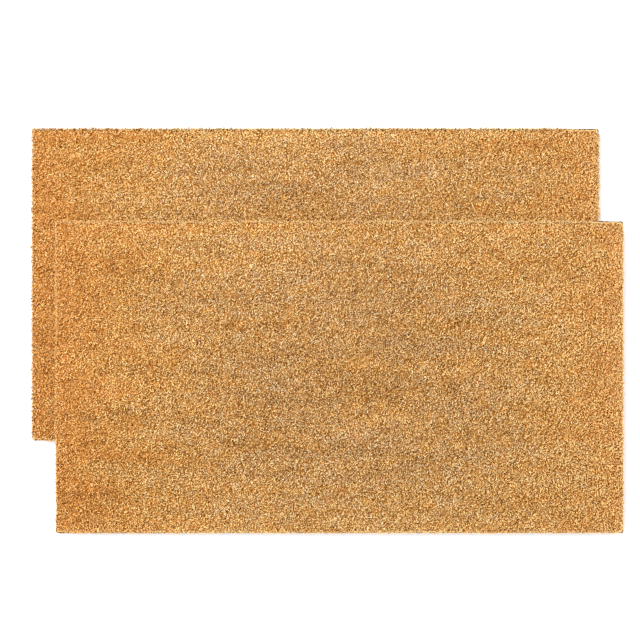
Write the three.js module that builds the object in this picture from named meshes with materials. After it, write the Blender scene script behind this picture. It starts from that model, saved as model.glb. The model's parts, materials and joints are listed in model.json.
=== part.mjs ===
// A set of two plain coir door mats, one laid loosely on the other. Millimetres, +Z up.
// +X runs along a mat's length and +Y across its width. The origin is on the floor, under the
// middle of the set. Each mat is a PVC backing sheet with a dense pile of coconut fibre set in it.

import * as THREE from 'three';

// One mat, cut from a roll of backed pile
const MAT_LENGTH = 600;
const MAT_WIDTH = 330;
const BACKING_THICKNESS = 2.5;
const PILE_HEIGHT = 12.2;
const BACKING_CORNER_RADIUS = 2;
const PILE_CORNER_RADIUS = 6;
const PILE_SETBACK = 1; // how far the pile's wall stands in from the backing's cut edge

// How the upper mat lies on the lower one
const SHIFT_X = 25.5; // towards the right end
const SHIFT_Y = -98; // towards the front
const EDGE_SAG = 6; // how far the front edge sinks where nothing is beneath it

const CONTACT_GAP = 0.3; // hair-line gap between layers that rest on or are bonded to each other
const CORNER_STEPS = 6;
const SAG_STEPS = 10;

const MAT_HEIGHT = BACKING_THICKNESS + CONTACT_GAP + PILE_HEIGHT;
const OVERHANG = Math.abs(SHIFT_Y);

const COIR = { color: 0xc89357, roughness: 0.95, metalness: 0 };
const PVC = { color: 0x1b1b19, roughness: 0.75, metalness: 0 };

// The upper mat is a strip held at the lower mat's front edge and loaded by its own weight.
// The strip sinks by the share of EDGE_SAG that an evenly loaded cantilever gives at that reach.
function sagAt(y) {
  const supportEdge = -MAT_WIDTH / 2 + OVERHANG;
  const reach = Math.max(0, supportEdge - y) / OVERHANG;
  return EDGE_SAG * reach ** 2 * (6 - 4 * reach + reach ** 2) / 3;
}

// Half-lengths of a rounded rectangle at a series of places across its width, front to back.
// The straight part near the front also gets a station at each step of the sag.
function outlineStations(length, width, radius) {
  const corner = [];
  for (let i = 0; i <= CORNER_STEPS; i += 1) {
    const angle = (Math.PI / 2) * (i / CORNER_STEPS);
    corner.push({
      y: -width / 2 + radius * (1 - Math.cos(angle)),
      halfLength: length / 2 - radius * (1 - Math.sin(angle)),
    });
  }
  const overhang = [];
  for (let i = 1; i <= SAG_STEPS; i += 1) {
    const y = -MAT_WIDTH / 2 + OVERHANG * (i / SAG_STEPS);
    if (y > -width / 2 + radius && y < width / 2 - radius) {
      overhang.push({ y, halfLength: length / 2 });
    }
  }
  const farCorner = corner.map(({ y, halfLength }) => ({ y: -y, halfLength })).reverse();
  return [...corner, ...overhang, ...farCorner];
}

// One layer of a mat: a thin slab with rounded corners, which follows the sag if it hangs over
function layerGeometry(setback, radius, thickness, sags) {
  const length = MAT_LENGTH - 2 * setback;
  const width = MAT_WIDTH - 2 * setback;
  const stations = outlineStations(length, width, radius);
  const slab = new THREE.BoxGeometry(length, width, thickness, 1, stations.length - 1, 1);
  const points = slab.attributes.position;
  for (let i = 0; i < points.count; i += 1) {
    const share = points.getY(i) / width + 0.5;
    const station = stations[Math.round(share * (stations.length - 1))];
    const drop = sags ? sagAt(station.y) : 0;
    points.setXYZ(
      i,
      Math.sign(points.getX(i)) * station.halfLength,
      station.y,
      points.getZ(i) - drop,
    );
  }
  slab.computeVertexNormals();
  return slab;
}

function layerMesh(name, geometry, finish, bottom, thickness) {
  const mesh = new THREE.Mesh(geometry, new THREE.MeshStandardMaterial(finish));
  mesh.name = name;
  mesh.position.z = bottom + thickness / 2;
  return mesh;
}

// A whole mat, with its underside at the group's own zero height
function buildMat(prefix, sags) {
  const mat = new THREE.Group();
  const backing = layerGeometry(0, BACKING_CORNER_RADIUS, BACKING_THICKNESS, sags);
  const pile = layerGeometry(PILE_SETBACK, PILE_CORNER_RADIUS, PILE_HEIGHT, sags);
  const pileBottom = BACKING_THICKNESS + CONTACT_GAP;
  mat.add(layerMesh(`${prefix}_backing`, backing, PVC, 0, BACKING_THICKNESS));
  mat.add(layerMesh(`${prefix}_pile`, pile, COIR, pileBottom, PILE_HEIGHT));
  return mat;
}

const doorMats = new THREE.Group();

const lowerMat = buildMat('lower', false);
lowerMat.position.set(-SHIFT_X / 2, -SHIFT_Y / 2, 0);
doorMats.add(lowerMat);

const upperMat = buildMat('upper', true);
upperMat.position.set(SHIFT_X / 2, SHIFT_Y / 2, MAT_HEIGHT + CONTACT_GAP);
doorMats.add(upperMat);

export default doorMats;
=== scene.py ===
# %% [markdown]
# # Two plain coir door mats, one laid on the other
#
# A coir mat is made in a roll: soft black PVC is spread on a belt, coconut fibre is pressed upright
# into it, the pile is sheared flat, and rectangles are cut from the roll. So a mat has only two
# parts, its backing and its pile, and everything that the eye sees is fibre.
#
# The CAD model gives each mat's outline, its heights and how far the upper mat's free edge sinks.
# This script loads it as a fixed frame and dresses it.

# %% Load the frame
import json
import math

import bpy
import numpy as np
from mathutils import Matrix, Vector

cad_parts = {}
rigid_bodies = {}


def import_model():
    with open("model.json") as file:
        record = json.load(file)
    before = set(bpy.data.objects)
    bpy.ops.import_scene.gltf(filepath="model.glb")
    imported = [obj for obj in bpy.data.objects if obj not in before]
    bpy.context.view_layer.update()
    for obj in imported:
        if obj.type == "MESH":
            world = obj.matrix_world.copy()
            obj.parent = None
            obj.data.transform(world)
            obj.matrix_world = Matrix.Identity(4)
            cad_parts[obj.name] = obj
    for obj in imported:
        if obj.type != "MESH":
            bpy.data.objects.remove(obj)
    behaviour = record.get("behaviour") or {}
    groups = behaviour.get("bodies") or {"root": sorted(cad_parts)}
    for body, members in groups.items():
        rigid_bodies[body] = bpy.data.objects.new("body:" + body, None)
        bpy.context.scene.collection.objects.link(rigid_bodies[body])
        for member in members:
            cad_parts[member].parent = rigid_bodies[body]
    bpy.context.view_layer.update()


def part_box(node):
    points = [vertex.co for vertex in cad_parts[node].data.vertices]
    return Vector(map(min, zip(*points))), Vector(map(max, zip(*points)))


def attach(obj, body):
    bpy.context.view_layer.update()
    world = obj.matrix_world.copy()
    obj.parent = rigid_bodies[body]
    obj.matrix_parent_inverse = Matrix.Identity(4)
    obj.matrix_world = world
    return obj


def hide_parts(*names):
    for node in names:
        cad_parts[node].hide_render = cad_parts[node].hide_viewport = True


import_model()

# %% [markdown]
# ## Sizes
#
# A mat is worked in its own space: the middle of its outline is the origin and its underside is at
# height 0. All sizes are in metres. What the CAD model fixes is read from it. What is finer than
# the CAD model, such as the width of a fibre, is set here.

# %% Sizes that come from the frame
def centre_and_size(node):
    low, high = (np.array(corner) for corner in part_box(node))
    return (low + high) / 2, high - low


LOWER_CENTRE, BACKING_SIZE = centre_and_size("lower_backing")
UPPER_CENTRE, _ = centre_and_size("upper_backing")
MAT_LENGTH, MAT_WIDTH, BACKING_THICKNESS = (float(side) for side in BACKING_SIZE)
PILE_LENGTH, PILE_WIDTH, _ = (float(side) for side in centre_and_size("lower_pile")[1])
PILE_TOP = float(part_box("lower_pile")[1][2])
LOWER_BASE = float(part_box("lower_backing")[0][2])
UPPER_BASE = float(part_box("upper_backing")[1][2]) - BACKING_THICKNESS
EDGE_SAG = UPPER_BASE - float(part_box("upper_backing")[0][2])
SUPPORT_EDGE = float(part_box("lower_backing")[0][1])
OVERHANG = SUPPORT_EDGE - float(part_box("upper_backing")[0][1])
print("mat", MAT_LENGTH, MAT_WIDTH, PILE_TOP, "sag", EDGE_SAG, "over", OVERHANG)

# %% Sizes of the fibre and the cut edges
MM = 0.001
BACKING_CORNER = 2 * MM
PILE_CORNER = 3.2 * MM
FIBRE_WIDTH = 0.7 * MM
FIBRE_REACH = 5.0 * MM  # the part of a fibre that stands free of its neighbours
FIBRE_PITCH = 1.09 * MM  # from root to root
NAP_SHIFT = 0.6 * MM  # the nap leans to the front, so its roots stand this much further back
SECTIONS = 5  # the pile is made in this many lengths, so that no piece gets too heavy
TONE_LEVELS = 12  # steps of warmth, each with its own strip on the fibre's colour map
COLOUR_MAP = "OFBake"

# %% [markdown]
# ## Placing a mat
#
# The lower mat lies flat. The upper one has nothing under its front edge, so that edge sinks as an
# evenly loaded strip does when it is held at one end. Bending every piece by one function keeps
# the layers together, whatever tool made them.

# %% Bend and place a piece
def sag_at(y):
    """How far the upper mat sinks at these places across the set."""
    reach = np.clip((SUPPORT_EDGE - y) / OVERHANG, 0, None)
    return EDGE_SAG * reach**2 * (6 - 4 * reach + reach**2) / 3


def place(mesh, mat):
    """Moves a mesh from the mat's own space to where the mat lies."""
    points = np.empty(len(mesh.vertices) * 3)
    mesh.vertices.foreach_get("co", points)
    points = points.reshape(-1, 3)
    points[:, 0] += MATS[mat]["centre"][0]
    points[:, 1] += MATS[mat]["centre"][1]
    points[:, 2] += MATS[mat]["base"]
    if MATS[mat]["hangs"]:
        points[:, 2] -= sag_at(points[:, 1])
    mesh.vertices.foreach_set("co", points.ravel())
    mesh.update()


# %% What sets the two mats apart
# noise_from sets which part of the slow noise colours the mat. spread is how far the mat's edge
# fibres are pressed out of line, which happens to the one that carries the other's weight.
MATS = {
    "lower": {
        "centre": LOWER_CENTRE,
        "base": LOWER_BASE,
        "hangs": False,
        "seed": 1100,
        "noise_from": (7.7, 0.0, 0.0),
        "spread": 1.0 * MM,
    },
    "upper": {
        "centre": UPPER_CENTRE,
        "base": UPPER_BASE,
        "hangs": True,
        "seed": 4700,
        "noise_from": (32.9, 0.0, 0.0),
        "spread": 0.0,
    },
}

# Oval places at the rim where the fibres stand further in and the backing reaches further out, as
# (middle, half sizes, how far out). Mats that are cut in one stroke share them.
THIN_SPOTS = [
    ((MAT_LENGTH / 2, MAT_WIDTH / 2), (38 * MM, 7 * MM), 0.5 * MM),
    ((-MAT_LENGTH / 2, -MAT_WIDTH / 2), (10 * MM, 6 * MM), 1.2 * MM),
    ((MAT_LENGTH / 2, -MAT_WIDTH / 2), (5 * MM, 10 * MM), 1.0 * MM),
]
print({mat: [round(float(x), 4) for x in facts["centre"][:2]] for mat, facts in MATS.items()})


# %% [markdown]
# ## A slab with a cut edge
#
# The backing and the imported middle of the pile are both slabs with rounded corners. A scaled cube
# would have dead straight edges and nothing on top to shape. Here a grid makes the top, rings of
# points go down its wall, and strips close the underside. Its map lays the top out flat with the
# walls folded out round it, and puts the underside beside it, so nothing overlaps.

# %% Plan of a slab
CORNER_POINTS = 5


def half_length_at(y, length, width, radius):
    """Half the slab's length at a place across it, less where a corner is rounded."""
    into_corner = max(0.0, abs(y) - (width / 2 - radius))
    return length / 2 - radius + math.sqrt(max(0.0, radius**2 - into_corner**2))


def rows_across(width, radius, cell):
    """Places across the slab: close together in the corners, one cell apart between them."""
    turn = np.linspace(0, math.pi / 2, CORNER_POINTS)
    corner = -width / 2 + radius * (1 - np.cos(turn))
    between = np.linspace(corner[-1], -corner[-1], round((width - 2 * radius) / cell) + 1)
    return np.concatenate([corner[:-1], between, -corner[:-1][::-1]])


def plan_grid(length, width, radius, cell):
    """The places of a slab's top, row by row, and the numbers of those round its rim."""
    ys = rows_across(width, radius, cell)
    columns = round(length / cell) + 1
    halves = np.array([half_length_at(y, length, width, radius) for y in ys])
    x = np.linspace(-1, 1, columns)[None, :] * halves[:, None]
    y = np.repeat(ys[:, None], columns, axis=1)
    index = np.arange(x.size).reshape(x.shape)
    rim = np.concatenate([index[0], index[1:, -1], index[-1, -2::-1], index[-2:0:-1, 0]])
    return x, y, index, rim


def rim_places(length, width, radius, cell):
    """Where the points round a slab's rim lie."""
    x, y, _, rim = plan_grid(length, width, radius, cell)
    return np.stack([x.ravel()[rim], y.ravel()[rim]], axis=1)


# %% Mesh a slab
MAP_FILL = 0.96  # how much of its map a piece fills
TOP_MIDDLE = (0.5, 0.25)  # of the laid-out top and walls, on the map
UNDERSIDE_MIDDLE = (0.5, 0.75)
UNDERSIDE_SHARE = 0.9  # the underside is laid out this much smaller


def slab_points(length, width, radius, cell, top_of, rings):
    """Points of a slab. top_of gives heights, and rings are (height, outward step) down the wall."""
    x, y, index, rim = plan_grid(length, width, radius, cell)
    top = np.stack([x, y, top_of(x, y)], axis=2).reshape(-1, 3)
    middle = top[rim, :2]
    along = np.roll(middle, -1, axis=0) - np.roll(middle, 1, axis=0)
    out = np.stack([along[:, 1], -along[:, 0]], axis=1)
    out /= np.linalg.norm(out, axis=1)[:, None]
    points = [top]
    plans = [top[:, :2]]
    for height, step in rings:
        ring = np.concatenate([middle + out * step[:, None], height[:, None]], axis=1)
        points.append(ring)
        plans.append(middle + out * (PILE_TOP - height.mean()))
    return points, plans, index, rim


def slab_faces(index, rim, ring_count):
    """Faces of the top, the wall and the underside, as lists of point numbers."""
    total = index.size
    rows, columns = index.shape
    top = np.stack([index[:-1, :-1], index[:-1, 1:], index[1:, 1:], index[1:, :-1]], axis=2)
    loops = [rim] + [total + k * len(rim) + np.arange(len(rim)) for k in range(ring_count)]
    wall = []
    for upper, lower in zip(loops[:-1], loops[1:]):
        wall.append(np.stack([lower, np.roll(lower, -1), np.roll(upper, -1), upper], axis=1))
    # The lowest ring runs round from the front left corner: front, right, back, left.
    last = loops[-1]
    front = last[:columns]
    right = last[columns - 1 : columns - 1 + rows]
    back = last[columns - 2 + rows : 2 * columns - 2 + rows]
    left = np.concatenate([[last[0]], last[: 2 * columns + rows - 4 : -1]])
    under = []
    for k in range(rows - 1):
        near = front if k == 0 else [left[k], right[k]]
        far = back if k == rows - 2 else [right[k + 1], left[k + 1]]
        under.append([int(i) for i in [*near, *far]][::-1])
    return top.reshape(-1, 4).tolist(), np.concatenate(wall).tolist(), under


def build_slab(name, length, width, radius, cell, top_of, rings):
    """Makes the slab's mesh, with its map: top and walls in one half, the underside in the other."""
    points, plans, index, rim = slab_points(length, width, radius, cell, top_of, rings)
    top, wall, under = slab_faces(index, rim, len(rings))
    mesh = bpy.data.meshes.new(name)
    mesh.from_pydata(np.concatenate(points).tolist(), [], top + wall + under)
    plan = np.concatenate(plans)
    share = MAP_FILL / (length + 4 * PILE_TOP)
    flat = plan * share + TOP_MIDDLE
    turned = plan * (share * UNDERSIDE_SHARE, -share * UNDERSIDE_SHARE) + UNDERSIDE_MIDDLE
    corners = np.empty(len(mesh.loops), dtype=np.int32)
    mesh.loops.foreach_get("vertex_index", corners)
    at = flat[corners]
    first_under = sum(len(face) for face in top + wall)
    at[first_under:] = turned[corners[first_under:]]
    layer = mesh.uv_layers.new(name=COLOUR_MAP)
    layer.uv.foreach_set("vector", at.astype(np.float32).ravel())
    mesh.validate()
    return mesh


# %% [markdown]
# ## Node helpers
#
# Materials and Geometry Nodes trees are both graphs of nodes and links. A few short helpers keep
# each recipe readable: one adds a node with its settings and links, and the others use it for a
# sum, a colour ramp, a mix of two colours or an empty material.

# %% Helpers for node trees
def plug(tree, socket, value):
    """Links an input to an output, or sets its value."""
    if isinstance(value, bpy.types.NodeSocket):
        tree.links.new(value, socket)
    else:
        socket.default_value = value


def add(tree, kind, values=None, **settings):
    """Adds a node, sets its properties, then links or sets its inputs."""
    node = tree.nodes.new(kind)
    for key, value in settings.items():
        setattr(node, key, value)
    for key, value in (values or {}).items():
        plug(tree, node.inputs[key], value)
    return node


def fed(tree, node, *values):
    """Plugs values into the inputs that the node's settings use. Returns the output they use."""
    used = [socket for socket in node.inputs if socket.enabled]
    for socket, value in zip(used, values):
        plug(tree, socket, value)
    return next(socket for socket in node.outputs if socket.enabled)


def maths(tree, operation, a, b=0.0, clamp=False):
    """One step of arithmetic. A clamped result stays from 0 to 1."""
    node = add(tree, "ShaderNodeMath", {0: a, 1: b}, operation=operation, use_clamp=clamp)
    return node.outputs[0]


def vector_maths(tree, operation, *values):
    """One step of arithmetic on vectors."""
    return fed(tree, add(tree, "ShaderNodeVectorMath", operation=operation), *values)


def ramp(tree, factor, stops):
    """A colour ramp from stops of (place, colour)."""
    node = add(tree, "ShaderNodeValToRGB", {"Fac": factor})
    elements = node.color_ramp.elements
    while len(elements) < len(stops):
        elements.new(0.5)
    for element, (place_on_ramp, colour) in zip(elements, stops):
        element.position = place_on_ramp
        element.color = (*colour, 1)
    return node.outputs["Color"]


def mixed(tree, factor, a, b, blend="MIX"):
    """Mixes two colours."""
    return fed(tree, add(tree, "ShaderNodeMix", data_type="RGBA", blend_type=blend), factor, a, b)


def new_material(name):
    """An empty material with a Principled shader, and its tree."""
    material = bpy.data.materials.new(name)
    material.use_nodes = True
    tree = material.node_tree
    tree.nodes.clear()
    shader = add(tree, "ShaderNodeBsdfPrincipled")
    output = add(tree, "ShaderNodeOutputMaterial")
    tree.links.new(shader.outputs[0], output.inputs["Surface"])
    return material, tree, shader


def linear(red, green, blue):
    """A colour of screen values from 0 to 255, as the linear numbers that shaders use."""
    return tuple((value / 255) ** 2.2 for value in (red, green, blue))


# %% [markdown]
# ## Coir
#
# Coconut fibre is cured golden tan, but no two fibres match. Bales differ too: one end of a mat can
# be rusty, its middle a greyer tan and its other end straw yellow. So each fibre carries two
# numbers, its tone and its warmth. Warmth runs from grey tan through gold to rust, tone from dark to
# light, and a third number, its reach, runs from root to tip. The reach darkens the root with
# painted shade, where little light gets in.

# %% Coir fibre material
COIR_TONES = {
    "grey tan": [(80, 48, 18), (182, 145, 90), (214, 184, 133), (229, 209, 172)],
    "gold": [(88, 44, 10), (202, 151, 77), (229, 184, 108), (240, 213, 151)],
    "rust": [(82, 36, 8), (193, 125, 56), (220, 159, 86), (236, 193, 128)],
}
TONE_STOPS = (0.0, 0.3, 0.7, 1.0)
# Painted shade: each fibre's colour is multiplied by this ramp, dark at the root where the fibres shade
# each other and full at the tip.
PAINTED_ROOT_SHADE = [(0.3, (0.3, 0.17, 0.06)), (0.8, (0.94, 0.91, 0.85)), (1.0, (1, 1, 1))]
STREAKS = (300, 7, 1)  # over the colour map: many across, so each fibre has its own, few along
STREAK_STRENGTH = 0.25


def make_coir():
    material, tree, shader = new_material("coir_fibre")
    tone = add(tree, "ShaderNodeAttribute", attribute_name="tone").outputs["Fac"]
    warmth = add(tree, "ShaderNodeAttribute", attribute_name="warmth").outputs["Fac"]
    reach = add(tree, "ShaderNodeAttribute", attribute_name="reach").outputs["Fac"]
    grey, gold, rust = (
        ramp(tree, tone, [(stop, linear(*colour)) for stop, colour in zip(TONE_STOPS, colours)])
        for colours in COIR_TONES.values()
    )
    to_gold = maths(tree, "MULTIPLY", warmth, 2.0, clamp=True)
    to_rust = maths(tree, "SUBTRACT", maths(tree, "MULTIPLY", warmth, 2.0), 1.0, clamp=True)
    fibre = mixed(tree, to_rust, mixed(tree, to_gold, grey, gold), rust)
    along = add(tree, "ShaderNodeUVMap", uv_map=COLOUR_MAP).outputs["UV"]
    stretched = add(tree, "ShaderNodeMapping", {"Vector": along, "Scale": STREAKS}).outputs[0]
    streak = add(tree, "ShaderNodeTexNoise", {"Vector": stretched, "Scale": 1.0, "Detail": 1.0})
    streaked = mixed(tree, STREAK_STRENGTH, fibre, streak.outputs["Fac"], "OVERLAY")
    # painted shade, dark at the root and none at the tip
    shade = ramp(tree, reach, PAINTED_ROOT_SHADE)
    tree.links.new(mixed(tree, 1.0, streaked, shade, "MULTIPLY"), shader.inputs["Base Color"])
    rough = add(tree, "ShaderNodeMapRange", {"Value": tone, "To Min": 0.95, "To Max": 0.7})
    tree.links.new(rough.outputs[0], shader.inputs["Roughness"])
    shader.inputs["Specular IOR Level"].default_value = 0.25
    return material


COIR = make_coir()
print("made", COIR.name)

# %% [markdown]
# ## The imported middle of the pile
#
# Below their tips the fibres stand so close that they make one mass. Single fibres down there would
# cost millions of faces that nobody sees. A lumpy slab stands for them. Its colour comes from two
# sets of long cells that lie at different angles, each cell a fibre. A noise mask lets now one set
# and now the other lie on top, so it reads as tangled fibre. The cells are stretched upwards too, so
# on the slab's walls they stand upright.

# %% Packed coir material
BLACK = (0, 0, 0)
WHITE = (1, 1, 1)
# Each set's angle, and its cells in a metre across, along and upwards
STRAND_SETS = ((0.5, (1900.0, 620.0, 160.0)), (-0.9, (2100.0, 560.0, 170.0)))
CLUMP_TONES = [(0.3, linear(154, 98, 40)), (0.7, linear(190, 134, 70))]
STRAND_TONES = [(0.2, (0.2, 0.11, 0.04)), (0.5, (0.86, 0.81, 0.71)), (0.85, (1.3, 1.3, 1.26))]
# Painted shade: the cells' edges, which the bump sinks, are darkened as gaps between the strands.
SHADE_BETWEEN_STRANDS = [(0.35, WHITE), (0.75, (0.38, 0.27, 0.14))]
ON_TOP = [(0.48, BLACK), (0.52, WHITE)]
STRAND_RELIEF = 0.4 * MM


def make_packed_coir():
    material, tree, shader = new_material("packed_coir")
    place_in_mat = add(tree, "ShaderNodeTexCoord").outputs["Object"]
    clumps = add(tree, "ShaderNodeTexNoise", {"Vector": place_in_mat, "Scale": 90.0, "Detail": 2.0})
    base = ramp(tree, clumps.outputs["Fac"], CLUMP_TONES)
    shades = []
    heights = []
    for angle, scale in STRAND_SETS:
        turned = add(tree, "ShaderNodeMapping", {"Vector": place_in_mat, "Rotation": (0, 0, angle)})
        drawn = add(tree, "ShaderNodeMapping", {"Vector": turned.outputs[0], "Scale": scale})
        strands = add(tree, "ShaderNodeTexVoronoi", {"Vector": drawn.outputs[0], "Scale": 1.0})
        shades.append(strands.outputs["Color"])
        heights.append(strands.outputs["Distance"])
    tangle = add(tree, "ShaderNodeTexNoise", {"Vector": place_in_mat, "Scale": 420.0, "Detail": 1.0})
    on_top = ramp(tree, tangle.outputs["Fac"], ON_TOP)
    height = mixed(tree, on_top, *heights)
    strand = ramp(tree, mixed(tree, on_top, *shades), STRAND_TONES)
    # painted shade in the gaps between the strands
    between = ramp(tree, height, SHADE_BETWEEN_STRANDS)
    stranded = mixed(tree, 1.0, base, strand, "MULTIPLY")
    tree.links.new(mixed(tree, 1.0, stranded, between, "MULTIPLY"), shader.inputs["Base Color"])
    relief = {"Height": height, "Strength": 0.6, "Distance": -STRAND_RELIEF}
    bump = add(tree, "ShaderNodeBump", relief)
    tree.links.new(bump.outputs[0], shader.inputs["Normal"])
    shader.inputs["Roughness"].default_value = 0.95
    shader.inputs["Specular IOR Level"].default_value = 0.1
    return material


PACKED_COIR = make_packed_coir()
print("made", PACKED_COIR.name)


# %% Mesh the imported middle
CORE_INSET = 1.6 * MM  # how far it stands in from the pile's outline
CORE_LOW = 10.2 * MM
CORE_HIGH = 12.2 * MM
CORE_CELL = 4 * MM
CORE_RINGS = (0.45, 0.0)  # heights of the wall's rings, as shares of its height
CORE_WAVES = (-0.3 * MM, 0.4 * MM)  # the least and the most that the wall steps out


def pile_core(mat):
    rng = np.random.default_rng(MATS[mat]["seed"])
    length = PILE_LENGTH - 2 * CORE_INSET
    width = PILE_WIDTH - 2 * CORE_INSET

    def lumpy(x, y):
        return rng.uniform(CORE_LOW, CORE_HIGH, x.shape)

    rim_count = len(rim_places(length, width, PILE_CORNER, CORE_CELL))
    rings = []
    for share in CORE_RINGS:
        height = BACKING_THICKNESS + share * (CORE_LOW - BACKING_THICKNESS)
        rings.append((np.full(rim_count, height), rng.uniform(*CORE_WAVES, rim_count)))
    mesh = build_slab(f"{mat}_pile_core", length, width, PILE_CORNER, CORE_CELL, lumpy, rings)
    mesh.materials.append(PACKED_COIR)
    place(mesh, mat)
    return mesh


# %% Hand a piece to its mat's body
PIECES = {mat: {} for mat in MATS}


def keep(mat, mesh, material_slot, *nodes):
    """Makes a mesh an object of its mat's body. It stands for the CAD nodes that are named."""
    piece = bpy.data.objects.new(mesh.name, mesh)
    bpy.context.scene.collection.objects.link(piece)
    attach(piece, f"{mat}_mat")
    if nodes:
        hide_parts(*nodes)
    PIECES[mat][piece.name] = piece
    return piece


for mat in MATS:
    core = keep(mat, pile_core(mat), "coir_pile", f"{mat}_pile")
    print(core.name, len(core.data.polygons), "faces")

# %% [markdown]
# ## The backing
#
# The backing is a sheet of soft PVC about 2.5 mm thick. A blade cuts it together with the pile, so
# its edge is almost straight, with the small waves of a hand-held knife.

# %% Black PVC material
PVC_TONES = [(0.35, linear(30, 31, 27)), (0.7, linear(48, 48, 42))]
DUST_PLACES = [(0.6, BLACK), (0.78, WHITE)]
DUST_COLOUR = (*linear(92, 78, 56), 1)


def make_pvc():
    material, tree, shader = new_material("black_pvc")
    place_in_mat = add(tree, "ShaderNodeTexCoord").outputs["Object"]
    cloud = add(tree, "ShaderNodeTexNoise", {"Vector": place_in_mat, "Scale": 60.0, "Detail": 3.0})
    grain = add(tree, "ShaderNodeTexNoise", {"Vector": place_in_mat, "Scale": 900.0, "Detail": 2.0})
    tint = ramp(tree, cloud.outputs["Fac"], PVC_TONES)
    dusty = ramp(tree, grain.outputs["Fac"], DUST_PLACES)
    colour = mixed(tree, dusty, tint, DUST_COLOUR)
    tree.links.new(colour, shader.inputs["Base Color"])
    dull_places = {"Value": cloud.outputs["Fac"], "To Min": 0.5, "To Max": 0.8}
    rough = add(tree, "ShaderNodeMapRange", dull_places)
    tree.links.new(rough.outputs[0], shader.inputs["Roughness"])
    relief = {"Height": grain.outputs["Fac"], "Strength": 0.35, "Distance": 0.3 * MM}
    bump = add(tree, "ShaderNodeBump", relief)
    tree.links.new(bump.outputs[0], shader.inputs["Normal"])
    return material


PVC = make_pvc()
print("made", PVC.name)

# %% Mesh the backing sheet
RIB_DEPTH = 0.35 * MM
BACKING_CELL = 5 * MM
BACKING_TRIM = 0.8 * MM  # the blade drags the backing, which ends a little short of the fibres
KNIFE_WAVES = (23, 57)  # in the whole outline
KNIFE_WAVE_HEIGHT = 0.12 * MM
LEAST_LIP = 0.75  # of how far the backing may reach out in a thin spot, where its edge is ragged
LIP_FADE = 3  # in a thin spot the reach fades over the outer third
# The cut edge, from top to bottom, as (height, how far it steps out)
CUT_EDGE = ((BACKING_THICKNESS - 0.3 * MM, 0.1 * MM), (1.2 * MM, 0.2 * MM), (RIB_DEPTH, 0.0))


def backing_sheet(mat):
    rng = np.random.default_rng(MATS[mat]["seed"] + 1)
    length = MAT_LENGTH - 2 * BACKING_TRIM
    width = MAT_WIDTH - 2 * BACKING_TRIM
    rim = rim_places(length, width, BACKING_CORNER, BACKING_CELL)
    starts = rng.uniform(0, 2 * math.pi, len(KNIFE_WAVES))
    turn = np.linspace(0, 2 * math.pi, len(rim), endpoint=False)
    waves = sum(np.sin(count * turn + start) for count, start in zip(KNIFE_WAVES, starts))
    out = KNIFE_WAVE_HEIGHT * waves
    ragged = rng.uniform(LEAST_LIP, 1.0, len(rim))
    for spot, size, lip in THIN_SPOTS:
        away = np.linalg.norm((rim - np.array(spot)) / np.array(size), axis=1)
        out += lip * ragged * np.clip(LIP_FADE * (1 - away), 0, 1)

    def flat_top(x, y):
        return np.full(x.shape, BACKING_THICKNESS)

    rings = [(np.full(len(rim), height), out + step) for height, step in CUT_EDGE]
    mesh = build_slab(
        f"{mat}_backing_sheet", length, width, BACKING_CORNER, BACKING_CELL, flat_top, rings
    )
    mesh.materials.append(PVC)
    place(mesh, mat)
    return mesh


for mat in MATS:
    sheet = keep(mat, backing_sheet(mat), "pvc_backing", f"{mat}_backing")
    print(sheet.name, len(sheet.data.polygons), "faces")

# %% [markdown]
# ## Running a Geometry Nodes tree
#
# Geometry Nodes make what repeats. A tree is built once with named inputs, a modifier runs it with
# this piece's values, and the result is kept as a plain mesh. The modifier's inputs are addressed
# by the socket's identifier, because names need not be unique.

# %% Helpers for Geometry Nodes
FLOAT = "NodeSocketFloat"
INTEGER = "NodeSocketInt"
VECTOR = "NodeSocketVector"
COLLECTION = "NodeSocketCollection"


def new_tree(name, inputs):
    """A Geometry Nodes tree with these inputs of (name, type). Returns it and its input node."""
    tree = bpy.data.node_groups.new(name, "GeometryNodeTree")
    tree.interface.new_socket("Geometry", in_out="OUTPUT", socket_type="NodeSocketGeometry")
    for label, kind in inputs:
        tree.interface.new_socket(label, in_out="INPUT", socket_type=kind)
    return tree, add(tree, "NodeGroupInput").outputs


def finish_tree(tree, geometry, material):
    """Ends a tree: instances become real mesh and get their material."""
    real = add(tree, "GeometryNodeRealizeInstances", {"Geometry": geometry})
    dressed = add(tree, "GeometryNodeSetMaterial", {"Geometry": real.outputs[0], "Material": material})
    add(tree, "NodeGroupOutput", {"Geometry": dressed.outputs[0]})


def run_tree(name, tree, values):
    """Runs the tree and returns its result as a plain mesh."""
    blank = bpy.data.meshes.new("blank")
    holder = bpy.data.objects.new("holder", blank)
    bpy.context.scene.collection.objects.link(holder)
    modifier = holder.modifiers.new("grow", "NODES")
    modifier.node_group = tree
    for item in tree.interface.items_tree:
        if item.in_out == "INPUT":
            modifier[item.identifier] = values[item.name]
    depsgraph = bpy.context.evaluated_depsgraph_get()
    grown = holder.evaluated_get(depsgraph)
    mesh = bpy.data.meshes.new_from_object(grown, preserve_all_data_layers=True, depsgraph=depsgraph)
    bpy.data.objects.remove(holder)
    bpy.data.meshes.remove(blank)
    mesh.name = name
    return mesh


# Every random choice that a tree makes for a fibre. Its place in the list keeps its draws apart
# from the others'.
CHOICES = [
    "shake along", "shake across", "root height", "left of nap", "right of nap", "tilt", "size",
    "shape", "warmth", "tone", "depth", "lean", "spin",
]
SEED_STEP = 20  # pieces of one mat take seeds this far apart, which leaves room for the choices


def random_between(tree, low, high, seed, choice):
    """A random number for each point, the same in every run."""
    shifted = maths(tree, "ADD", seed, CHOICES.index(choice))
    node = add(tree, "FunctionNodeRandomValue", {"Seed": shifted}, data_type="FLOAT")
    return fed(tree, node, low, high)


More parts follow.
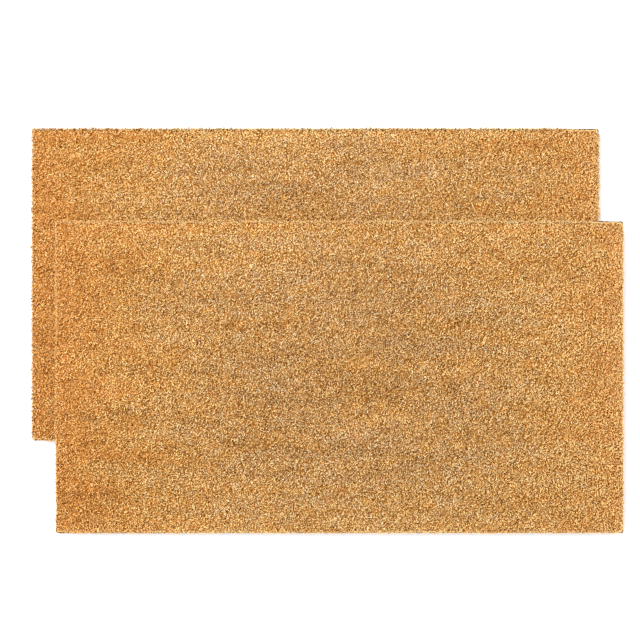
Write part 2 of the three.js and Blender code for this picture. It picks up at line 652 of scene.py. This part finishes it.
def store(tree, geometry, name, value):
    """Writes a number on each point, which its fibre then carries."""
    node = add(tree, "GeometryNodeStoreNamedAttribute", {"Geometry": geometry, "Name": name})
    node.data_type = "FLOAT"
    node.domain = "POINT"
    tree.links.new(value, next(s for s in node.inputs if s.name == "Value" and s.enabled))
    return node.outputs["Geometry"]


# %% [markdown]
# ## Fibre shapes
#
# A coir fibre is stiff and springy. In the pile it stands among its neighbours and only the last few
# millimetres are free, cut off blunt by the shears: some straight, some bent over. A few shapes are
# enough once each copy is turned, tilted and scaled at random. A shape has three flat sides. In the
# pile its hidden root runs to a point. So a straight fibre takes only four triangles and a bent one
# ten, which matters because there are more than a hundred thousand of them in a mat.

# %% Mesh the fibre shapes
SIDES = 3
TWIST = 0.5  # radians from one point of a fibre to the next
MOST_KINK = 0.5  # how far a fibre's bend may swing sideways, in radians


def fibre_shape(name, line, width, pointed_root):
    """A three-sided fibre along a line of points, with a blunt tip."""
    points = []
    reach = []
    turn = []
    rings = []
    for step, centre in enumerate(line):
        pointed = pointed_root and step == 0
        first = len(points)
        rings.append([first] * SIDES if pointed else [first + side for side in range(SIDES)])
        for side in range(1 if pointed else SIDES):
            angle = 2 * math.pi * side / SIDES + TWIST * step
            radius = 0.0 if pointed else width / 2
            offset = (radius * math.cos(angle), radius * math.sin(angle), 0.0)
            points.append([c + o for c, o in zip(centre, offset)])
            reach.append(step / (len(line) - 1))
            turn.append(side / (SIDES - 1))
    faces = [rings[-1]] if pointed_root else [rings[0][::-1], rings[-1]]
    for lower, upper in zip(rings[:-1], rings[1:]):
        for side in range(SIDES):
            after = (side + 1) % SIDES
            face = [lower[side], lower[after], upper[after], upper[side]]
            faces.append(face if lower[0] != lower[1] else face[1:])
    mesh = bpy.data.meshes.new(name)
    mesh.from_pydata(points, [], faces)
    for label, values in (("reach", reach), ("turn", turn)):
        mesh.attributes.new(label, "FLOAT", "POINT").data.foreach_set("value", values)
    return bpy.data.objects.new(name, mesh)


def bent_line(rng, steps, length, bends):
    """Points of a fibre that rises and bends over by an angle between the two in bends."""
    bend = rng.uniform(*bends)
    kink = rng.uniform(-MOST_KINK, MOST_KINK)
    line = [(0.0, 0.0, 0.0)]
    piece = length / steps
    for step in range(steps):
        lean = bend * (step + 0.5) / steps
        swing = kink * (step + 0.5) / steps
        x, y, z = line[-1]
        sideways = piece * math.sin(lean)
        x += sideways * math.sin(swing)
        y -= sideways * math.cos(swing)
        line.append((x, y, z + piece * math.cos(lean)))
    return line


def fibre_shapes(label, kinds, length, pointed_root, seed):
    """A collection of fibres. kinds are (how many, steps, least and most bend)."""
    rng = np.random.default_rng(seed)
    shapes = bpy.data.collections.new(label)
    for count, steps, bends in kinds:
        for _ in range(count):
            line = bent_line(rng, steps, length, bends)
            name = f"{label}_{len(shapes.objects)}"
            shapes.objects.link(fibre_shape(name, line, FIBRE_WIDTH, pointed_root))
    return shapes


PILE_KINDS = [(10, 1, (0.0, 0.5)), (2, 2, (0.3, 0.9))]
EDGE_KINDS = [(8, 2, (0.03, 0.2))]
PILE_SHAPES = fibre_shapes("pile_fibre", PILE_KINDS, FIBRE_REACH, True, 5)
EDGE_SHAPES = fibre_shapes("edge_fibre", EDGE_KINDS, PILE_TOP - BACKING_THICKNESS, False, 6)


# %% [markdown]
# ## Growing the pile
#
# The fibres are pressed in at random, but evenly. So the tree starts from a grid, shakes each
# point by up to half a cell each way, and sets a fibre there. Tone and warmth come from slow noise,
# which makes the soft blotches of real coir, and from chance. The middle of a mat is a little
# greyer and its two ends differ. Its rim is lighter and warmer, a painted highlight where the edge
# catches the light.

# %% What colours a fibre
# Slow noise, as (blotches in a metre along, across and up, octaves of finer detail)
WARM_BANDS = ((9.0, 45.0, 1.0), 3.0)
WARM_BLOTCHES = ((55.0, 80.0, 1.0), 2.0)
LIGHT_BANDS = ((7.0, 60.0, 1.0), 3.0)
LIGHT_SPOTS = ((90.0, 110.0, 1.0), 2.0)
LIGHT_SHIFT = (3.7, 1.9, 0.0)  # so that light and warm places don't lie together

# The powers that fade an effect in towards a mat's edge. The higher, the narrower it is.
END_POWER = 2.5
BORDER_POWER = 8.0
RIM_HIGHLIGHT_POWER = 40.0

# How much each effect adds to a fibre's warmth and to its tone
WARM_WEIGHTS = {
    "bands": 1.3,
    "blotches": 0.9,
    "rusty end": 0.8,
    "straw end": 0.6,
    "border": 0.35,
    # painted highlight: the rim is drawn warmer
    "rim": 0.2,
    "chance": 1.0,
}
LIGHT_WEIGHTS = {
    "bands": 0.5,
    "spots": 0.5,
    "rusty end": -0.05,
    "straw end": 0.18,
    "from middle": 0.15,
    "border": 0.08,
    # painted highlight: the rim is drawn lighter, more at the straw end and less at the rusty end
    "rim": 0.2,
    "rusty rim": -0.16,
    "straw rim": 0.35,
    "chance": 1.0,
    # painted highlight that lightens the fibres of the cut edge
    "edge_highlight": 1.0,
}
LEAST_WARMTH = -0.92  # what warmth and tone start from, before the effects are added
LEAST_LIGHT = -0.53
WARMTH_CHANCE = 0.3


# %% Colour of each fibre
def slow_noise(tree, where, kind):
    """Noise whose blotches are longer along the mat than across it, from 0 to 1."""
    scale, detail = kind
    drawn = vector_maths(tree, "MULTIPLY", where, scale)
    noise = add(tree, "ShaderNodeTexNoise", {"Vector": drawn, "Scale": 1.0, "Detail": detail})
    return noise.outputs["Fac"]


def weighted(tree, effects, weights):
    """Adds up the effects that have a weight, each times its weight."""
    total = 0.0
    for name, weight in weights.items():
        terms = {0: effects[name], 1: weight, 2: total}
        total = add(tree, "ShaderNodeMath", terms, operation="MULTIPLY_ADD").outputs[0]
    return total


def effects_of_place(tree, where):
    """Effects of where a fibre stands. Each grows to 1 at the mat's edge or at one of its ends."""
    parts = add(tree, "ShaderNodeSeparateXYZ", {0: where})
    along = maths(tree, "DIVIDE", parts.outputs[0], PILE_LENGTH / 2)
    across = maths(tree, "DIVIDE", parts.outputs[1], PILE_WIDTH / 2)
    from_middle = maths(tree, "MAXIMUM", maths(tree, "ABSOLUTE", along), maths(tree, "ABSOLUTE", across))
    effects = {
        "from middle": from_middle,
        "border": maths(tree, "POWER", from_middle, BORDER_POWER),
        # rim: where the painted highlight along the very edge goes
        "rim": maths(tree, "POWER", from_middle, RIM_HIGHLIGHT_POWER),
    }
    for end, direction in (("rusty", -1.0), ("straw", 1.0)):
        side = maths(tree, "MULTIPLY", along, direction, clamp=True)
        effects[f"{end} end"] = maths(tree, "POWER", side, END_POWER)
        # how the painted rim highlight differs at the two ends
        effects[f"{end} rim"] = maths(tree, "POWER", side, RIM_HIGHLIGHT_POWER)
    return effects


def warmth_and_tone(tree, inputs, where, points, edge_highlight=0.0):
    """Stores each fibre's tone and its warmth, which goes up in even steps."""
    seed = inputs["Seed"]
    moved = vector_maths(tree, "ADD", where, inputs["Noise from"])
    shifted = vector_maths(tree, "ADD", moved, LIGHT_SHIFT)
    effects = effects_of_place(tree, where)
    warm_effects = {
        "bands": slow_noise(tree, moved, WARM_BANDS),
        "blotches": slow_noise(tree, moved, WARM_BLOTCHES),
        "chance": random_between(tree, -WARMTH_CHANCE, WARMTH_CHANCE, seed, "warmth"),
        **effects,
    }
    light_effects = {
        "bands": slow_noise(tree, shifted, LIGHT_BANDS),
        "spots": slow_noise(tree, shifted, LIGHT_SPOTS),
        "chance": random_between(tree, 0.0, 1.0, seed, "tone"),
        # painted highlight, which lightens the fibres of the cut edge
        "edge_highlight": edge_highlight,
        **effects,
    }
    warm = maths(tree, "ADD", weighted(tree, warm_effects, WARM_WEIGHTS), LEAST_WARMTH, clamp=True)
    steps = maths(tree, "ROUND", maths(tree, "MULTIPLY", warm, TONE_LEVELS - 1))
    stepped = maths(tree, "DIVIDE", steps, TONE_LEVELS - 1)
    tone = maths(tree, "ADD", weighted(tree, light_effects, LIGHT_WEIGHTS), LEAST_LIGHT, clamp=True)
    points = store(tree, points, "warmth", stepped)
    return store(tree, points, "tone", tone)


# %% Roots of the pile
def shaken_grid(tree, inputs):
    """One point for each root: a grid, with every point moved by chance."""
    grid = add(
        tree,
        "GeometryNodeMeshGrid",
        {
            "Size X": inputs["Section length"],
            "Size Y": inputs["Pile width"],
            "Vertices X": inputs["Fibres along"],
            "Vertices Y": inputs["Fibres across"],
        },
    )
    roots = add(tree, "GeometryNodeMeshToPoints", {"Mesh": grid.outputs["Mesh"]})
    shake, seed = inputs["Shake"], inputs["Seed"]
    back = maths(tree, "MULTIPLY", shake, -1.0)
    moves = {
        "X": random_between(tree, back, shake, seed, "shake along"),
        "Y": random_between(tree, back, shake, seed, "shake across"),
        "Z": random_between(tree, inputs["Lowest root"], inputs["Highest root"], seed, "root height"),
    }
    move = add(tree, "ShaderNodeCombineXYZ", moves).outputs[0]
    offset = vector_maths(tree, "ADD", move, inputs["Section middle"])
    shaken = add(tree, "GeometryNodeSetPosition", {"Geometry": roots.outputs[0], "Offset": offset})
    return shaken.outputs[0]


def outside_corners(tree, where, radius):
    """True where a point lies past the mat's rounded corners."""
    parts = add(tree, "ShaderNodeSeparateXYZ", {0: where})
    into = []
    for axis, side in enumerate((PILE_LENGTH, PILE_WIDTH)):
        past_side = maths(tree, "SUBTRACT", maths(tree, "ABSOLUTE", parts.outputs[axis]), side / 2)
        into.append(maths(tree, "MAXIMUM", maths(tree, "ADD", past_side, radius), 0.0))
    diagonal = add(tree, "ShaderNodeCombineXYZ", {"X": into[0], "Y": into[1]}).outputs[0]
    return maths(tree, "GREATER_THAN", vector_maths(tree, "LENGTH", diagonal), radius)


# %% Fibres on their roots
def nap_turn(tree, inputs):
    """Tilts a fibre by chance, most often towards the nap's direction."""
    seed = inputs["Seed"]
    left = random_between(tree, -0.5, 0.0, seed, "left of nap")
    right = random_between(tree, 0.0, 0.5, seed, "right of nap")
    off_nap = maths(tree, "MULTIPLY", maths(tree, "ADD", left, right), inputs["Nap spread"])
    spin = maths(tree, "ADD", off_nap, inputs["Nap direction"])
    tilt = random_between(tree, inputs["Least tilt"], inputs["Most tilt"], seed, "tilt")
    return add(tree, "ShaderNodeCombineXYZ", {"X": tilt, "Z": spin}).outputs[0]


def fibres_on(tree, inputs, points, turn):
    """Sets one of the tree's shapes on each point, turned, and scaled by chance."""
    seed = inputs["Seed"]
    shapes = add(
        tree,
        "GeometryNodeCollectionInfo",
        {"Collection": inputs["Shapes"], "Separate Children": True, "Reset Children": True},
    )
    dice = random_between(tree, 0.0, inputs["Shape count"], seed, "shape")
    pick = add(tree, "FunctionNodeFloatToInt", {0: dice}, rounding_mode="FLOOR")
    fibres = add(
        tree,
        "GeometryNodeInstanceOnPoints",
        {
            "Points": points,
            "Instance": shapes.outputs[0],
            "Pick Instance": True,
            "Instance Index": pick.outputs[0],
            "Rotation": turn,
            "Scale": random_between(tree, inputs["Least size"], inputs["Most size"], seed, "size"),
        },
    )
    return fibres.outputs[0]


# %% Tree for the pile
def make_pile_tree():
    tree, inputs = new_tree(
        "coir_pile",
        [
            ("Section length", FLOAT),
            ("Section middle", VECTOR),
            ("Pile width", FLOAT),
            ("Fibres along", INTEGER),
            ("Fibres across", INTEGER),
            ("Shake", FLOAT),
            ("Lowest root", FLOAT),
            ("Highest root", FLOAT),
            ("Least tilt", FLOAT),
            ("Most tilt", FLOAT),
            ("Least size", FLOAT),
            ("Most size", FLOAT),
            ("Nap direction", FLOAT),
            ("Nap spread", FLOAT),
            ("Corner radius", FLOAT),
            ("Noise from", VECTOR),
            ("Seed", INTEGER),
            ("Shapes", COLLECTION),
            ("Shape count", FLOAT),
        ],
    )
    roots = shaken_grid(tree, inputs)
    where = add(tree, "GeometryNodeInputPosition").outputs[0]
    past = outside_corners(tree, where, inputs["Corner radius"])
    kept = add(tree, "GeometryNodeDeleteGeometry", {"Geometry": roots, "Selection": past}, domain="POINT")
    marked = warmth_and_tone(tree, inputs, where, kept.outputs[0])
    finish_tree(tree, fibres_on(tree, inputs, marked, nap_turn(tree, inputs)), COIR)
    return tree


PILE_TREE = make_pile_tree()
print("tree", PILE_TREE.name, len(PILE_TREE.nodes), "nodes")


# %% Lay a fibre piece out on its colour map
STRIP_START = 0.1  # where a warmth's strip starts, and how much of it the tones take
STRIP_USE = 0.75
SIDE_STEP = 0.004  # keeps a fibre's sides apart on the map
ROOT_UP = 0.02  # where the roots lie on the map


def numbers(mesh, label):
    """An attribute's number at each point of the mesh."""
    values = np.empty(len(mesh.vertices), dtype=np.float32)
    mesh.attributes[label].data.foreach_get("value", values)
    return values


def map_by_colour(mesh):
    """Puts every fibre where the map has its colour: warmth and tone across, reach up."""
    warmth = np.round(numbers(mesh, "warmth") * (TONE_LEVELS - 1))
    tone = numbers(mesh, "tone")
    side = SIDE_STEP * numbers(mesh, "turn")
    across = (warmth + STRIP_START + STRIP_USE * tone) / TONE_LEVELS + side
    up = ROOT_UP + MAP_FILL * numbers(mesh, "reach")
    corners = np.empty(len(mesh.loops), dtype=np.int32)
    mesh.loops.foreach_get("vertex_index", corners)
    at = np.stack([across[corners], up[corners]], axis=1)
    layer = mesh.uv_layers.new(name=COLOUR_MAP)
    layer.uv.foreach_set("vector", at.astype(np.float32).ravel())


# %% Shear the pile
BLADE_BELOW_TOP = 0.6 * MM
BLADE_TAKES = 0.75  # of what stands above the blade, because springy fibres duck under it
LONGEST_STRAY = 0.2 * MM


def shear(mesh):
    """Cuts the pile nearly flat: no fibre stands above the sheared height by more than a stray's."""
    points = np.empty(len(mesh.vertices) * 3)
    mesh.vertices.foreach_get("co", points)
    points = points.reshape(-1, 3)
    over = np.maximum(0, points[:, 2] - (PILE_TOP - BLADE_BELOW_TOP))
    points[:, 2] -= over * BLADE_TAKES
    points[:, 2] = np.minimum(points[:, 2], PILE_TOP + LONGEST_STRAY)
    mesh.vertices.foreach_set("co", points.ravel())


def just_under(count):
    """The most that may be drawn, so that rounding down gives 0 to count - 1."""
    return count - 0.01


# %% Grow the pile of both mats
def pile_section(mat, number):
    section = PILE_LENGTH / SECTIONS
    mesh = run_tree(
        f"{mat}_pile_{number + 1}",
        PILE_TREE,
        {
            "Section length": section - FIBRE_PITCH,
            "Section middle": ((number - (SECTIONS - 1) / 2) * section, NAP_SHIFT, 0.0),
            "Pile width": PILE_WIDTH - 2 * FIBRE_PITCH,
            "Fibres along": round(section / FIBRE_PITCH),
            "Fibres across": round(PILE_WIDTH / FIBRE_PITCH) - 1,
            "Shake": 0.5 * FIBRE_PITCH,
            "Lowest root": 9.6 * MM,
            "Highest root": 11.2 * MM,
            "Least tilt": -0.1,
            "Most tilt": 0.55,
            "Least size": 0.75,
            "Most size": 1.15,
            "Nap direction": math.radians(-20),
            "Nap spread": 1.3 * math.pi,
            "Corner radius": PILE_CORNER,
            "Noise from": MATS[mat]["noise_from"],
            "Seed": MATS[mat]["seed"] + SEED_STEP * number,
            "Shapes": PILE_SHAPES,
            "Shape count": just_under(len(PILE_SHAPES.objects)),
        },
    )
    map_by_colour(mesh)
    shear(mesh)
    place(mesh, mat)
    return mesh


for mat in MATS:
    for number in range(SECTIONS):
        piece = keep(mat, pile_section(mat, number), "coir_pile")
        print(piece.name, len(piece.data.polygons), "faces")

# %% [markdown]
# ## The fibres of the cut edge
#
# Along the cut the fibres show their whole height, and with no neighbour to hold them they lean
# out over the backing. Points are spread along the pile's outline. Each gets a full-height fibre
# that is tilted a little outwards and set up to 2 mm further in by chance, so the wall is a few
# fibres thick. In the thin spots the fibres stand further in and don't lean.

# %% Where the edge is thin
PAINTED_EDGE_HIGHLIGHT = 0.12  # painted highlight: the fibres of the cut edge are drawn lighter, as where the wall catches the light
EDGE_FIBRES = 8000
EDGE_DEPTH = 2.0 * MM
THIN_SPOT_STEP = 0.9 * MM  # how far the outline steps in
THIN_SPOT_DEPTH = 0.35  # of the edge's depth
THIN_SPOT_FADE = 4.0  # a thin spot fades over its outer quarter
THIN_SPOT_INPUTS = [(f"Thin spot {n + 1}", f"Thin spot {n + 1} size") for n in range(len(THIN_SPOTS))]


def in_spot(tree, where, spot, size):
    """1 where a point lies well inside an oval spot of this size, falling to 0 at its rim."""
    away = vector_maths(tree, "DIVIDE", vector_maths(tree, "SUBTRACT", where, spot), size)
    inwards = maths(tree, "SUBTRACT", 1.0, vector_maths(tree, "LENGTH", away))
    return maths(tree, "MULTIPLY", inwards, THIN_SPOT_FADE, clamp=True)


def thinness(tree, inputs, where):
    """1 well inside any of the thin spots, 0 outside them."""
    thin = 0.0
    for spot, spot_size in THIN_SPOT_INPUTS:
        inside = in_spot(tree, where, inputs[spot], inputs[spot_size])
        thin = maths(tree, "MAXIMUM", inside, thin)
    return thin


# %% Feet of the edge fibres
OUTLINE_CORNER_POINTS = 6


def outline_points(tree, inputs, where):
    """Even points round the pile's outline, and the direction that faces outwards at each."""
    outline = add(
        tree,
        "GeometryNodeCurvePrimitiveQuadrilateral",
        {"Width": inputs["Length"], "Height": inputs["Width"]},
    )
    rounded = add(
        tree,
        "GeometryNodeFilletCurve",
        {"Curve": outline.outputs[0], "Radius": inputs["Corner radius"], "Count": OUTLINE_CORNER_POINTS},
        mode="POLY",
    )
    spots = add(
        tree,
        "GeometryNodeCurveToPoints",
        {"Curve": rounded.outputs[0], "Count": inputs["Fibres"]},
        mode="COUNT",
    )
    sideways = vector_maths(tree, "CROSS_PRODUCT", spots.outputs["Tangent"], (0, 0, 1))
    sign = maths(tree, "SIGN", vector_maths(tree, "DOT_PRODUCT", sideways, where))
    return spots.outputs["Points"], vector_maths(tree, "SCALE", sideways, sign)


def foot_offset(tree, inputs, outward, thin):
    """Moves a fibre's foot to its height and into the pile, further in where the edge is thin."""
    shallower = maths(tree, "SUBTRACT", 1.0, inputs["Thin spot depth"])
    depth_share = maths(tree, "SUBTRACT", 1.0, maths(tree, "MULTIPLY", thin, shallower))
    deepest = maths(tree, "MULTIPLY", maths(tree, "MULTIPLY", inputs["Deepest row"], -1.0), depth_share)
    any_depth = random_between(tree, deepest, 0.0, inputs["Seed"], "depth")
    stepped_in = maths(tree, "MULTIPLY", thin, inputs["Thin spot step"])
    depth = maths(tree, "SUBTRACT", any_depth, stepped_in)
    foot = add(tree, "ShaderNodeCombineXYZ", {"Z": inputs["Foot height"]}).outputs[0]
    return vector_maths(tree, "ADD", vector_maths(tree, "SCALE", outward, depth), foot)


# %% Lean of the edge fibres
def turned_by(tree, rotation, angles):
    """Turns a rotation further, about its own axes."""
    turned = add(
        tree,
        "FunctionNodeRotateRotation",
        {"Rotation": rotation, "Rotate By": add(tree, "ShaderNodeCombineXYZ", angles).outputs[0]},
        rotation_space="LOCAL",
    )
    return turned.outputs[0]


def outward_lean(tree, inputs, outward, thin):
    """Leans a fibre outwards, except where the edge is thin, and spins it by chance."""
    seed = inputs["Seed"]
    upright = add(
        tree,
        "FunctionNodeAlignRotationToVector",
        {"Vector": outward},
        axis="X",
        pivot_axis="Z",
    )
    any_lean = random_between(tree, inputs["Least lean"], inputs["Most lean"], seed, "lean")
    lean = maths(tree, "MULTIPLY", any_lean, maths(tree, "SUBTRACT", 1.0, thin))
    leaned = turned_by(tree, upright.outputs[0], {"Y": lean})
    return turned_by(tree, leaned, {"Z": random_between(tree, -math.pi, math.pi, seed, "spin")})


# %% Tree for the edge
def make_edge_tree():
    tree, inputs = new_tree(
        "coir_edge",
        [
            ("Length", FLOAT),
            ("Width", FLOAT),
            ("Corner radius", FLOAT),
            ("Fibres", INTEGER),
            ("Foot height", FLOAT),
            ("Deepest row", FLOAT),
            ("Least lean", FLOAT),
            ("Most lean", FLOAT),
            ("Least size", FLOAT),
            ("Most size", FLOAT),
            *[(label, VECTOR) for labels in THIN_SPOT_INPUTS for label in labels],
            ("Thin spot step", FLOAT),
            ("Thin spot depth", FLOAT),
            ("Noise from", VECTOR),
            ("Seed", INTEGER),
            ("Shapes", COLLECTION),
            ("Shape count", FLOAT),
        ],
    )
    where = add(tree, "GeometryNodeInputPosition").outputs[0]
    points, outward = outline_points(tree, inputs, where)
    thin = thinness(tree, inputs, where)
    marked = warmth_and_tone(tree, inputs, where, points, PAINTED_EDGE_HIGHLIGHT)
    fibres = fibres_on(tree, inputs, marked, outward_lean(tree, inputs, outward, thin))
    offset = foot_offset(tree, inputs, outward, thin)
    moved = add(
        tree,
        "GeometryNodeTranslateInstances",
        {"Instances": fibres, "Translation": offset, "Local Space": False},
    )
    finish_tree(tree, moved.outputs[0], COIR)
    return tree


EDGE_TREE = make_edge_tree()
print("tree", EDGE_TREE.name, len(EDGE_TREE.nodes), "nodes")


# %% Grow the edges
def edge_fibres(mat):
    spread = MATS[mat]["spread"]
    thin_spots = {}
    for (spot, spot_size), (middle, size, _) in zip(THIN_SPOT_INPUTS, THIN_SPOTS):
        thin_spots[spot] = (*middle, 0.0)
        thin_spots[spot_size] = (*size, 1.0)
    mesh = run_tree(
        f"{mat}_edge_fibres",
        EDGE_TREE,
        {
            "Length": PILE_LENGTH + 2 * spread,
            "Width": PILE_WIDTH + 2 * spread,
            "Corner radius": PILE_CORNER,
            "Fibres": EDGE_FIBRES,
            "Foot height": BACKING_THICKNESS - 0.2 * MM,
            "Deepest row": EDGE_DEPTH + spread,
            "Least lean": 0.0,
            "Most lean": 0.14,
            "Least size": 0.85,
            "Most size": 1.1,
            **thin_spots,
            "Thin spot step": THIN_SPOT_STEP + spread,
            "Thin spot depth": THIN_SPOT_DEPTH,
            "Noise from": MATS[mat]["noise_from"],
            "Seed": MATS[mat]["seed"] + SEED_STEP * SECTIONS,
            "Shapes": EDGE_SHAPES,
            "Shape count": just_under(len(EDGE_SHAPES.objects)),
        },
    )
    map_by_colour(mesh)
    shear(mesh)
    place(mesh, mat)
    return mesh


for mat in MATS:
    piece = keep(mat, edge_fibres(mat), "coir_pile")
    print(piece.name, len(piece.data.polygons), "faces")

# The trees have made their copies, so the single shapes can go.
for shapes in (PILE_SHAPES, EDGE_SHAPES):
    for shape in list(shapes.objects):
        bpy.data.objects.remove(shape)
    bpy.data.collections.remove(shapes)

# %% [markdown]
# ## Grip ribs
#
# The underside of such a backing is not smooth: the belt that it is cast on leaves fine ribs, which
# grip the floor. One rib is a thin flattened bar, half sunk in the sheet, and the tree sets a copy
# at each step across.

# %% Tree for the ribs
RIB_STEP = 4 * MM
RIB_MARGIN = 5 * MM  # from the ribs to the mat's edge
RIB_RADIUS = 0.6 * MM
RIB_SIDES = 6
RIB_HEIGHT_SHARE = 0.55  # a rib is flatter than it is wide


def make_rib_tree():
    tree, inputs = new_tree(
        "grip_ribs",
        [
            ("Rib length", FLOAT),
            ("Rib radius", FLOAT),
            ("Rib count", INTEGER),
            ("Rib step", FLOAT),
            ("Height", FLOAT),
        ],
    )
    half = maths(tree, "MULTIPLY", inputs["Rib length"], 0.5)
    start = add(tree, "ShaderNodeCombineXYZ", {"X": maths(tree, "MULTIPLY", half, -1.0)})
    end = add(tree, "ShaderNodeCombineXYZ", {"X": half})
    line = add(tree, "GeometryNodeCurvePrimitiveLine", {"Start": start.outputs[0], "End": end.outputs[0]})
    section = add(
        tree,
        "GeometryNodeCurvePrimitiveCircle",
        {"Resolution": RIB_SIDES, "Radius": inputs["Rib radius"]},
    )
    bar = add(
        tree,
        "GeometryNodeCurveToMesh",
        {"Curve": line.outputs[0], "Profile Curve": section.outputs[0], "Fill Caps": True},
    )
    steps = maths(tree, "SUBTRACT", inputs["Rib count"], 1.0)
    spread = maths(tree, "MULTIPLY", steps, inputs["Rib step"])
    first = add(
        tree,
        "ShaderNodeCombineXYZ",
        {"Y": maths(tree, "MULTIPLY", spread, -0.5), "Z": inputs["Height"]},
    )
    step = add(tree, "ShaderNodeCombineXYZ", {"Y": inputs["Rib step"]})
    places = add(
        tree,
        "GeometryNodeMeshLine",
        {"Count": inputs["Rib count"], "Start Location": first.outputs[0], "Offset": step.outputs[0]},
    )
    ribs = add(
        tree,
        "GeometryNodeInstanceOnPoints",
        {"Points": places.outputs[0], "Instance": bar.outputs[0], "Scale": (1.0, 1.0, RIB_HEIGHT_SHARE)},
    )
    finish_tree(tree, ribs.outputs[0], PVC)
    return tree


RIB_TREE = make_rib_tree()
print("tree", RIB_TREE.name, len(RIB_TREE.nodes), "nodes")


# %% Make the ribs
def grip_ribs(mat):
    mesh = run_tree(
        f"{mat}_grip_ribs",
        RIB_TREE,
        {
            "Rib length": MAT_LENGTH - 2 * RIB_MARGIN,
            "Rib radius": RIB_RADIUS,
            "Rib count": round((MAT_WIDTH - 2 * RIB_MARGIN) / RIB_STEP),
            "Rib step": RIB_STEP,
            "Height": RIB_DEPTH,
        },
    )
    place(mesh, mat)
    return mesh


for mat in MATS:
    piece = keep(mat, grip_ribs(mat), "pvc_backing")
    print(piece.name, len(piece.data.polygons), "faces")

# %% [markdown]
# ## The sheets and the whole set
#
# The PVC is a thin flexible sheet that was cut to a known size. Each mat's sheet is only looked
# up here, and then the triangles of the whole set are counted.

for mat in MATS:
    sheet = PIECES[mat][f"{mat}_backing_sheet"]

triangles = 0
for group in PIECES.values():
    for piece in group.values():
        piece.data.calc_loop_triangles()
        triangles += len(piece.data.loop_triangles)
print("whole set", triangles, "triangles")

# %% [markdown]
# ## Studio
#
# The mats lie on a plain white table that glows a little, as a light table does, so that they throw
# almost no shadow on it. One large lamp hangs above, a little to the back left, and gives the fibres
# a light and a dark side. A bright world fills the shadows.

# %% Floor
FLOOR_GLOW = 0.3
FLOOR_SIZE = 12.0


def make_floor():
    half = FLOOR_SIZE / 2
    mesh = bpy.data.meshes.new("floor")
    corners = [(-half, -half, 0), (half, -half, 0), (half, half, 0), (-half, half, 0)]
    mesh.from_pydata(corners, [], [(0, 1, 2, 3)])
    material, tree, shader = new_material("white_floor")
    shader.inputs["Base Color"].default_value = (0.9, 0.9, 0.9, 1)
    shader.inputs["Roughness"].default_value = 0.9
    shader.inputs["Emission Color"].default_value = (1, 1, 1, 1)
    shader.inputs["Emission Strength"].default_value = FLOOR_GLOW
    mesh.materials.append(material)
    floor = bpy.data.objects.new("floor", mesh)
    bpy.context.scene.collection.objects.link(floor)


make_floor()


# %% Lights
KEY_LAMP = {"place_at": (-0.6, 0.7, 2.1), "size": 1.5, "power": 109}
WORLD_LIGHT = 0.96


def add_lamp(name, place_at, size, power):
    """A square soft lamp that points at the middle of the set."""
    lamp = bpy.data.lights.new(name, "AREA")
    lamp.size = size
    lamp.energy = power
    holder = bpy.data.objects.new(name, lamp)
    holder.location = place_at
    bpy.context.scene.collection.objects.link(holder)
    aim = -holder.location
    holder.rotation_euler = aim.to_track_quat("-Z", "Y").to_euler()


add_lamp("key", **KEY_LAMP)
world = bpy.data.worlds.new("studio")
world.use_nodes = True
background = world.node_tree.nodes["Background"]
background.inputs["Color"].default_value = (1, 1, 1, 1)
background.inputs["Strength"].default_value = WORLD_LIGHT
bpy.context.scene.world = world
bpy.context.scene.view_settings.view_transform = "Standard"
bpy.context.scene.cycles.denoising_prefilter = "NONE"  # the other settings smear fine fibre


# %% Camera
VIEW_WIDTH = 0.675
VIEW_MIDDLE = (-0.0079, 0.0112)
LENS = 400.0  # from far off, so that the lower mat looks no smaller than the upper
SENSOR = 36.0
camera = bpy.data.cameras.new("camera")
camera.lens = LENS
camera.sensor_width = SENSOR
camera.clip_end = 100.0
eye = bpy.data.objects.new("camera", camera)
eye.location = (*VIEW_MIDDLE, PILE_TOP * 2 + VIEW_WIDTH * LENS / SENSOR)
bpy.context.scene.collection.objects.link(eye)
bpy.context.scene.camera = eye
